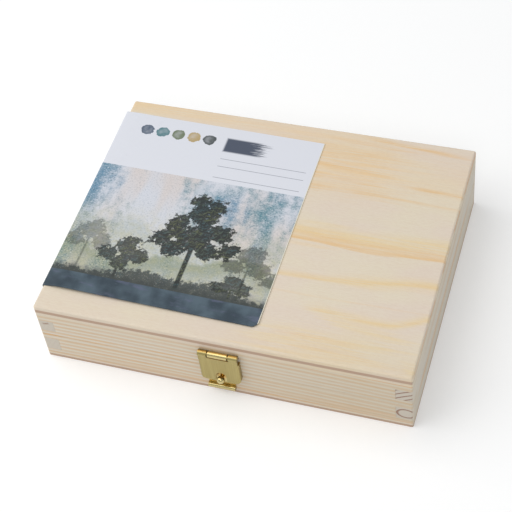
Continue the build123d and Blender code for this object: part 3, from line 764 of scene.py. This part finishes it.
def card_material():
    """The print, on the card laid flat: x from the fold and y from the front edge, in millimetres.

    Washes are slow noise drawn out up and down. Each hill is all that lies under a ridge line, a sum of
    two sines and noise, and it thins into mist below its ridge. A tree is the greatest of its clumps,
    frayed by noise, and paler where the noise falls to the upper left. Pigment settles in grains of
    fine noise, most where a wash is strong."""
    material, tree, shader = bare_material("printed_card")
    size = (card_total, CARD_BACK - CARD_FRONT, 1)
    flat = put(tree, "UVMap", uv_map="flat").outputs[0]
    laid = placed(tree, flat, size, (-CARD_FLAP, 0, 0))
    x, y, _ = axes(tree, laid)
    wet = noise(tree, laid, 0.25, 4.0, 0.65)
    grains = noise(tree, laid, 1.15, 3.0, 0.8)
    # Sky: pale paper with blue and teal bleeding down it, straw low down and rose between
    bleed = noise(tree, laid, (0.055, 0.018, 1.0), 3.0, 0.55, shift=(5.3, 0.4, 0.0))
    cool = noise(tree, laid, (0.03, 0.02, 1.0), shift=(7.3, 2.0, 0.0))
    left = ramp(tree, x, 30.0, -12.0, 0.0, 0.16)
    deep = ramp(tree, sums(tree, "ADD", bleed, centred(tree, wet, 0.16), left), 0.49, 0.74)
    pigment = mixed(tree, ramp(tree, cool, 0.42, 0.62), SKY_BLUE, SKY_TEAL)
    rosy = noise(tree, laid, (0.05, 0.012, 1.0), shift=(9.4, 5.2, 0.0))
    colour = mixed(tree, ramp(tree, rosy, 0.46, 0.64, 0.0, 0.75), SKY_PALE, ROSE)
    colour = mixed(tree, deep, colour, pigment)
    straw = times(tree, ramp(tree, y, 66.0, 30.0), ramp(tree, wet, 0.35, 0.65, 0.2, 0.8))
    colour = mixed(tree, straw, colour, STRAW)
    # Hills, from the far one to the near one
    for tone, level, first, second, edge, crowns, bushy, mist, ink in HILLS:
        ridge = sums(tree, "ADD", centred(tree, noise(tree, laid, crowns, 4.0, 0.7), bushy), level)
        for swing, wave, start in (first, second):
            sine = sums(tree, "SINE", sums(tree, "ADD", times(tree, x, 2.0 / wave), start))
            ridge = sums(tree, "ADD", ridge, times(tree, sine, swing))
        under = sums(tree, "SUBTRACT", ridge, y)
        misty = sums(tree, "ADD", under, times(tree, wet, mist))
        thin = ramp(tree, misty, mist * 1.6, mist * 0.7, 0.3, 1.0)
        colour = mixed(tree, times(tree, ramp(tree, under, -edge, edge), thin, ink), colour, tone)
    settled = ramp(tree, deep, 0.0, 0.7, 0.3, 0.85)
    colour = mixed(tree, times(tree, ramp(tree, grains, 0.5, 0.66), settled), colour, GRAIN_BLUE)
    colour = mixed(tree, times(tree, ramp(tree, grains, 0.46, 0.3), settled), colour, GRAIN_PALE)
    # Broadleaf trees
    leaves = noise(tree, laid, 0.4, 4.0, 0.75)
    lit = noise(tree, placed(tree, laid, location=(-0.5, 0.7, 0.0)), 0.4, 4.0, 0.75)
    lit = sums(tree, "SUBTRACT", leaves, lit)
    hue = noise(tree, laid, 0.11)
    foliage = mixed(tree, ramp(tree, hue, 0.4, 0.62), LEAF_TEAL, LEAF_OLIVE)
    foliage = mixed(tree, ramp(tree, lit, 0.1, -0.02, 0.3, 1.0), foliage, LEAF_DARK)
    frayed = sums(tree, "ADD", centred(tree, noise(tree, laid, 0.13), 5.0), centred(tree, leaves, 7.0))
    thin = times(tree, ramp(tree, leaves, 0.3, 0.42, 0.5, 1.0), ramp(tree, grains, 0.36, 0.24, 1.0, 0.7))
    for ink, (trunk_x, trunk_half), clumps in TREES:
        half = (clumps[0][1] - TRUNK_FOOT) / 2
        crown = boxed(tree, laid, (trunk_x, TRUNK_FOOT + half, 0), (trunk_half, half, 1), 0.7)
        for *middle, radius in clumps:
            clump = clumped(tree, laid, middle, radius, frayed, 1.0, 1.0)
            crown = sums(tree, "MAXIMUM", crown, clump)
        colour = mixed(tree, times(tree, crown, thin, ink), colour, foliage)
    floor_wash = ramp(tree, sums(tree, "ADD", y, centred(tree, wet, 7.0)), 18.0, 10.0, 0.0, 0.8)
    colour = mixed(tree, floor_wash, colour, NEAR_HILL)
    # Header: five washed swatches, a dry brush stroke and three thin rules
    colour = mixed(tree, ramp(tree, y, PICTURE_HIGH - 0.1, PICTURE_HIGH + 0.1), colour, CARD_WHITE)
    uneven = centred(tree, noise(tree, laid, 0.5), 1.1)
    for number, tone in enumerate(SWATCHES):
        middle = (SWATCH_ROW[0] + SWATCH_STEP * number, SWATCH_ROW[1])
        spot = clumped(tree, laid, middle, SWATCH_RADIUS, uneven, 0.4, 0.0)
        pool = clumped(tree, laid, middle, POOL_RADIUS, uneven, POOL_RADIUS, 0.0)
        pool = times(tree, pool, ramp(tree, wet, 0.3, 0.7, 0.05, 0.4))
        colour = mixed(tree, spot, colour, mixed(tree, pool, tone, CARD_WHITE))
    for height in RULE_HEIGHTS:
        rule = boxed(tree, laid, (RULE_MIDDLE, height, 0), RULE_HALF, 0.2)
        colour = mixed(tree, times(tree, rule, 0.6), colour, INK)
    dry = noise(tree, laid, (0.08, 1.6, 1.0), 4.0, 0.7)
    dry = ramp(tree, sums(tree, "SUBTRACT", ramp(tree, x, 103.0, 62.0, -0.2, 0.78), dry), -0.1, 0.1)
    stroke = boxed(tree, laid, STROKE_MIDDLE, STROKE_HALF, 1.4)
    colour = mixed(tree, times(tree, stroke, dry, 0.95), colour, INK)
    slow = sums(tree, "ADD", noise(tree, laid, 0.07), centred(tree, wet, 0.12))
    slate = mixed(tree, ramp(tree, slow, 0.36, 0.66), SLATE, SLATE_PALE)
    lilac = ramp(tree, noise(tree, laid, (0.05, 0.16, 1.0), 4.0, 0.7), 0.52, 0.66, 0.0, 0.5)
    slate = mixed(tree, lilac, slate, LILAC)
    colour = mixed(tree, ramp(tree, y, PICTURE_LOW + 0.1, PICTURE_LOW - 0.1), colour, slate)
    cut = ramp(tree, x, CARD_LENGTH - 0.35, CARD_LENGTH - 0.1)
    colour = mixed(tree, cut, colour, CARD_EDGE)
    coat(tree, shader, colour, CARD_GLOSS, grains, PIGMENT_DEPTH)
    return material


dress(card_material(), "printed_card")
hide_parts("card_label")
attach(card, "lid")

# Tray
# A moulded black plastic tray lies in the case, with a half-round well for each tube and a trough
# across at each end for the fingers.
TRAY_BLACK, TRAY_DUST = (34, 34, 36), (46, 46, 47)
TRAY_DEPTH = 0.04


def tray_material():
    """Fine-grained matt black plastic with a little dust."""
    material, tree, shader, place, _ = new_material("tray_plastic")
    grain = noise(tree, place, 2.5, 3.0, 0.7)
    dust = ramp(tree, noise(tree, place, 0.08, 3.0), 0.4, 0.8)
    colour = mixed(tree, dust, TRAY_BLACK, TRAY_DUST)
    coat(tree, shader, colour, ramp(tree, grain, 0.3, 0.7, 0.5, 0.66), grain, TRAY_DEPTH)
    return material


dress(tray_material(), "tube_tray")

# Paint tubes
# Soft aluminium tubes, round at the shoulder and folded flat at the tail, printed with a white band and
# a band of their own colour. A fluted black cap screws on each.
NECK, SHOULDER, FOLD, FOLD_HALF = 9.0, 4.0, 6.0, 0.75
NECK_RADIUS, COLLAR_RADIUS = 4.5, 6.5
LIP_LONG, LIP_IN, ROUND_LONG, ROUND_IN, ROUND_END = 0.3, 0.2, 0.8, 0.9, 0.2
CAP_FLUTES, FLUTE_DEPTH = 18, 0.06
TUBE_COLOURS = ((74, 92, 62), (58, 96, 112), (120, 98, 58), (44, 60, 78), (132, 122, 96))
FOIL_DARK, FOIL_PALE, PRINT_WHITE = (196, 198, 200), (214, 216, 218), (226, 226, 222)
CAP_BLACK, CAP_WORN = (30, 30, 32), (42, 42, 44)
FOIL_DEPTH, CAP_GLOSS, CAP_DEPTH = 0.02, 0.45, 0.01
# Where the white print, the colour and the rule beside it start and end, and how softly
WHITE_BAND, COLOUR_BAND, RULE_BAND = (-30.0, 39.0, 0.1), (-24.0, 0.0, 0.1), (2.45, 3.25, 0.05)
# Each fold of the tail: share of its length, and share of its half thickness
TAIL_FOLDS = ((0.02, 0.8), (0.3, 1.0), (0.34, 0.72), (0.62, 1.0), (0.66, 0.72), (0.97, 0.95), (1.0, 0.6))
# The cap's profile: share of its length, share of its radius, and how deep its flutes are there
CAP_PROFILE = (
    (0.0, 0.0, 0), (0.0, 0.55, 0), (0.0, 0.84, 0), (0.004, 0.9, 0), (0.03, 0.95, 0.2), (0.07, 0.985, 0.8),
    (0.12, 1.0, 1), (0.5, 1.0, 1), (0.93, 1.0, 1), (0.96, 1.0, 0.5), (0.97, 1.0, 0), (1.0, 1.0, 0),
    (1.0, 0.96, 0), (1.0, 0.68, 0), (0.4, 0.67, 0), (0.36, 0.0, 0),
)


def tube_grid(low, high, around):
    """A tube along Y in its node's box. Half width and half height go in straight lines from the round
    shoulder to the flat fold; each row is an ellipse, and both ends close to a point."""
    middle, start, end = (low + high) / 2 * MM, low.y * MM, high.y * MM
    wide, radius = (high.x - low.x) / 2 * MM, (high.z - low.z) / 2 * MM
    body, tail = start + NECK + SHOULDER, end - FOLD
    rounds = (
        (start, 0), (start, NECK_RADIUS - LIP_IN), (start + LIP_LONG, NECK_RADIUS),
        (start + NECK, NECK_RADIUS), (start + NECK, COLLAR_RADIUS),
        (body - ROUND_LONG, radius - ROUND_IN), (body, radius - ROUND_END),
    )
    rows = [(along, half, half) for along, half in rounds]
    first, last = np.array((body, radius, radius)), np.array((tail, wide, FOLD_HALF))
    rows += (first + np.linspace(0.01, 1.0, 40)[:, None] * (last - first)).tolist()
    rows += [(tail + part * FOLD, wide, FOLD_HALF * deep) for part, deep in TAIL_FOLDS] + [(end, 0, 0)]
    y, a, b = np.array(rows)[:, :, None].transpose(1, 0, 2)
    angle = np.linspace(0, 2 * math.pi, around, endpoint=False)[None, :]
    x, z = middle.x + a * np.cos(angle), middle.z + b * np.sin(angle)
    return np.stack((x, y + 0 * x, z), -1) / MM


def cap_grid(low, high, around):
    """A cap along Y in its node's box: the profile turned, its radius less at each flute by the fourth
    power of a cosine."""
    middle, outer = (low + high) / 2, (high.z - low.z) / 2
    along, wide, fluted = np.array(CAP_PROFILE)[:, :, None].transpose(1, 0, 2)
    angle = np.linspace(0, 2 * math.pi, around, endpoint=False)[None, :]
    radius = outer * wide * (1 - fluted * FLUTE_DEPTH * np.cos(angle * CAP_FLUTES / 2) ** 4)
    x, z = middle.x + radius * np.cos(angle), middle.z + radius * np.sin(angle)
    return np.stack((x, low.y + (high.y - low.y) * along + 0 * x, z), -1)


def between(tree, value, start, end, soft):
    """One while the value lies between start and end, going in and out softly."""
    comes = ramp(tree, value, start - soft, start + soft)
    return times(tree, comes, ramp(tree, value, end + soft, end - soft))


def tube_material(name, tone):
    """Satin aluminium with a white printed band, a band of the paint's own colour and a rule."""
    material, tree, shader, place, _ = new_material(name)
    y = axes(tree, place)[1]
    brushed = noise(tree, place, (0.6, 0.05, 0.6), 3.0)
    metal = mixed(tree, brushed, FOIL_DARK, FOIL_PALE)
    white = between(tree, y, *WHITE_BAND)
    ink, rule = between(tree, y, *COLOUR_BAND), between(tree, y, *RULE_BAND)
    colour = mixed(tree, white, metal, PRINT_WHITE)
    colour = mixed(tree, sums(tree, "MAXIMUM", ink, rule), colour, tone)
    tree.links.new(sums(tree, "SUBTRACT", 1.0, white), shader.inputs["Metallic"])
    coat(tree, shader, colour, ramp(tree, white, 0.0, 1.0, 0.3, 0.45), brushed, FOIL_DEPTH)
    return material


def cap_material():
    """Matt black moulded plastic."""
    material, tree, shader, place, _ = new_material("cap_plastic")
    grain = noise(tree, place, 3.0)
    colour = mixed(tree, grain, CAP_BLACK, CAP_WORN)
    coat(tree, shader, colour, CAP_GLOSS, grain, CAP_DEPTH)
    return material


black = cap_material()
for number, tone in enumerate(TUBE_COLOURS, 1):
    tube = surface("tube_%d_foil" % number, tube_grid(*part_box("paint_tube_%d" % number), 96), closed=True)
    dress(tube_material("tube_%d_print" % number, tone), tube.name)
    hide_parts("paint_tube_%d" % number)
    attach(tube, "tube_%d" % number)
    cap = surface("tube_%d_cap" % number, cap_grid(*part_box("paint_cap_%d" % number), 216), closed=True)
    dress(black, cap.name)
    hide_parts("paint_cap_%d" % number)
    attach(cap, "cap_%d" % number)

# Floor and light
# A pale floor that runs out of view, a wide soft lamp above the left side, a weaker one in front, and
# a dim surround.
FLOOR_HALF = 3.0
FLOOR_GREY = 0.86
FLOOR_GLOW, FAR_GLOW = 0.2, 0.75
GLOW_NEAR, GLOW_FAR = 0.4, 2.0
SURROUND, SURROUND_TINT = 0.53, (0.95, 0.975, 1.0, 1)
bpy.ops.mesh.primitive_plane_add(size=2 * FLOOR_HALF)
floor = bpy.context.object
floor.name = "floor"
material, tree, shader = bare_material("floor")
grey = (FLOOR_GREY, FLOOR_GREY, FLOOR_GREY, 1)
fill(tree, shader, {"Base Color": grey, "Roughness": 0.9, "Specular IOR Level": 0.1})
path = put(tree, "LightPath").outputs
seen = (path["Is %s Ray" % kind] for kind in ("Camera", "Glossy", "Transmission"))
seen = sums(tree, "MAXIMUM", *seen)
distance = size_of(tree, put(tree, "TexCoord").outputs["Object"])
shown = ramp(tree, distance, GLOW_NEAR, GLOW_FAR, FLOOR_GLOW, FAR_GLOW)
glow = put(tree, "Emission", {"Strength": times(tree, seen, shown)}).outputs[0]
both = put(tree, "AddShader", {0: shader.outputs[0], 1: glow}).outputs[0]
tree.links.new(both, tree.nodes["Material Output"].inputs[0])
floor.data.materials.append(material)

world = bpy.data.worlds.new("surround")
scene.world = world
world.use_nodes = True
background = world.node_tree.nodes["Background"]
fill(world.node_tree, background, {"Color": SURROUND_TINT, "Strength": SURROUND})


def lamp(name, place, wide, watts, colour):
    """A square soft lamp at a place, facing the case."""
    data = bpy.data.lights.new(name, "AREA")
    data.size, data.energy, data.color = wide, watts, colour
    made = bpy.data.objects.new(name, data)
    facing = (-Vector(place)).to_track_quat("-Z", "Y").to_matrix().to_4x4()
    made.matrix_world = Matrix.Translation(place) @ facing
    scene.collection.objects.link(made)


lamp("softbox", (-0.86, -0.2, 1.2), 1.7, 14.6, (1.0, 0.985, 0.96))
lamp("front card", (0.25, -0.9, 0.95), 0.35, 1.6, (1.0, 0.99, 0.97))

scene.view_settings.view_transform = "Standard"
